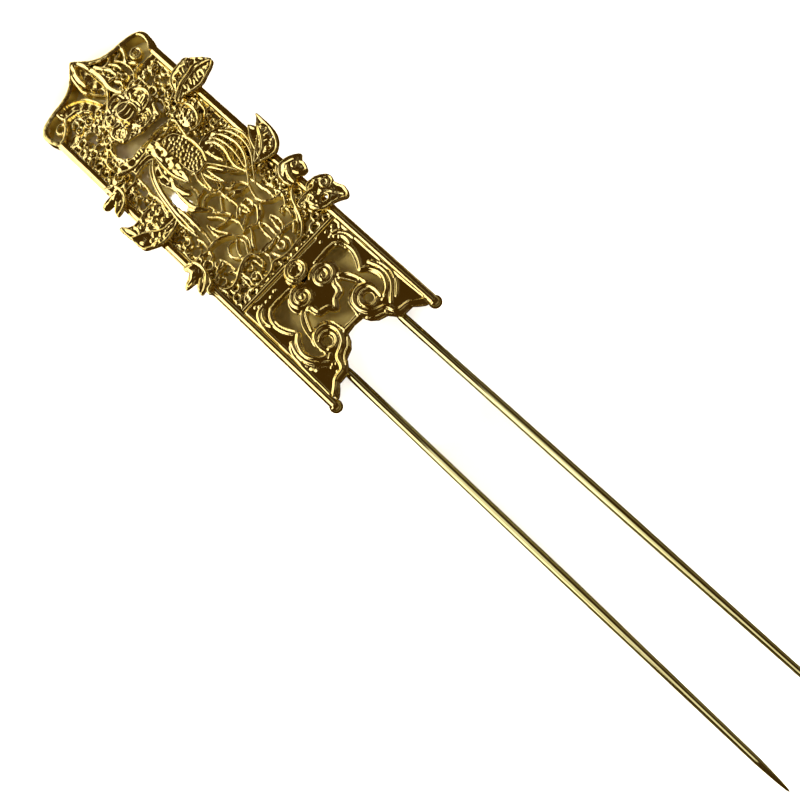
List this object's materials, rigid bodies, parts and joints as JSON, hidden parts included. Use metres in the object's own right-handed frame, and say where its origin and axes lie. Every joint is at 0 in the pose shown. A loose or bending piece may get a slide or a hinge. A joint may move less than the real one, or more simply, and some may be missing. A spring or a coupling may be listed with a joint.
{
  "type": "hair fork",
  "caption": "Two-pronged hair fork with a long rectangular pierced head in polished gold, a cloud-shaped top, a bird, a peony and leaves over scroll openwork, and two straight prongs.",
  "frame": {"origin": "middle of the underside of the cross bar that divides the scroll plate from the openwork panel, on the plane that the fork lies on", "axes": "+X across the fork to the right of the face, +Y along it from the prongs' tips to the head's peak, +Z out of the decorated face"},
  "size_m": [0.0321, 0.1663, 0.0042],
  "materials": {
    "gilt_brass": "mirror-polished yellow gold plate"
  },
  "bodies": {
    "root": {"frame": "gilt_brass", "lower_plate": "gilt_brass", "panel": "gilt_brass", "boss": "gilt_brass", "peony": "gilt_brass", "peony_heart": "gilt_brass", "rosette": "gilt_brass", "bird_body": "gilt_brass", "bird_neck": "gilt_brass", "bird_wing_left": "gilt_brass", "bird_wing_right": "gilt_brass", "bird_tail": "gilt_brass", "leaf_upper_right": "gilt_brass", "leaf_middle_right": "gilt_brass", "leaf_small_right": "gilt_brass", "leaf_lower_right": "gilt_brass", "leaf_small_left_upper": "gilt_brass", "leaf_middle_left": "gilt_brass", "leaf_small_left_lower": "gilt_brass", "prong_left": "gilt_brass", "prong_right": "gilt_brass"}
  },
  "joints": []
}
